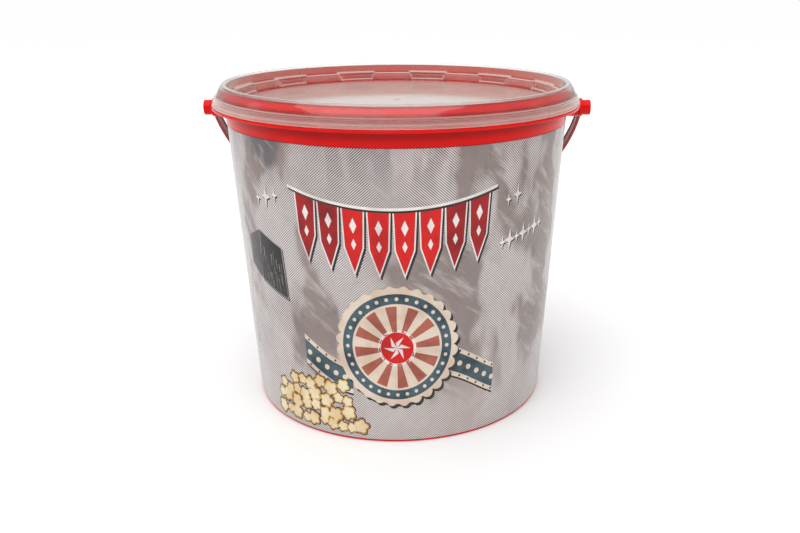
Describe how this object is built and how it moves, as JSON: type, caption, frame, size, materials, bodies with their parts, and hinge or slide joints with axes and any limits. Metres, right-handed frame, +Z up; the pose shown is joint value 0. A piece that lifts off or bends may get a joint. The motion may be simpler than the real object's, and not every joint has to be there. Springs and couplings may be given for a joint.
{
  "type": "bucket of popcorn",
  "caption": "Round tapered plastic pail of popcorn with a printed sleeve, translucent push-fit lid and a swinging strap handle.",
  "frame": {"origin": "centre of the pail's underside", "axes": "+Z up the pail's axis; +X through the trunnion on the right as the pail is looked at from the front; +Y to the back, where the bail hangs"},
  "size_m": [0.2388, 0.2238, 0.1983],
  "materials": {
    "pail_plastic": "glossy saturated red polypropylene",
    "printed_film": "satin printed film, grey ground with fields of red, cream and teal",
    "lid_plastic": "translucent natural polypropylene",
    "strap_plastic": "satin wine-red polypropylene",
    "popped_corn": "matt, crisp, cream with golden patches"
  },
  "bodies": {
    "root": {"bucket": "pail_plastic", "label": "printed_film", "lid": "lid_plastic", "popcorn": "popped_corn"},
    "handle": {"handle": "strap_plastic"}
  },
  "joints": [
    {"name": "bail_swing", "type": "hinge", "parent": "root", "child": "handle", "pos_m": [0, 0, 0.1813], "axis": [1, 0, 0], "range_deg": [0, 269]}
  ]
}
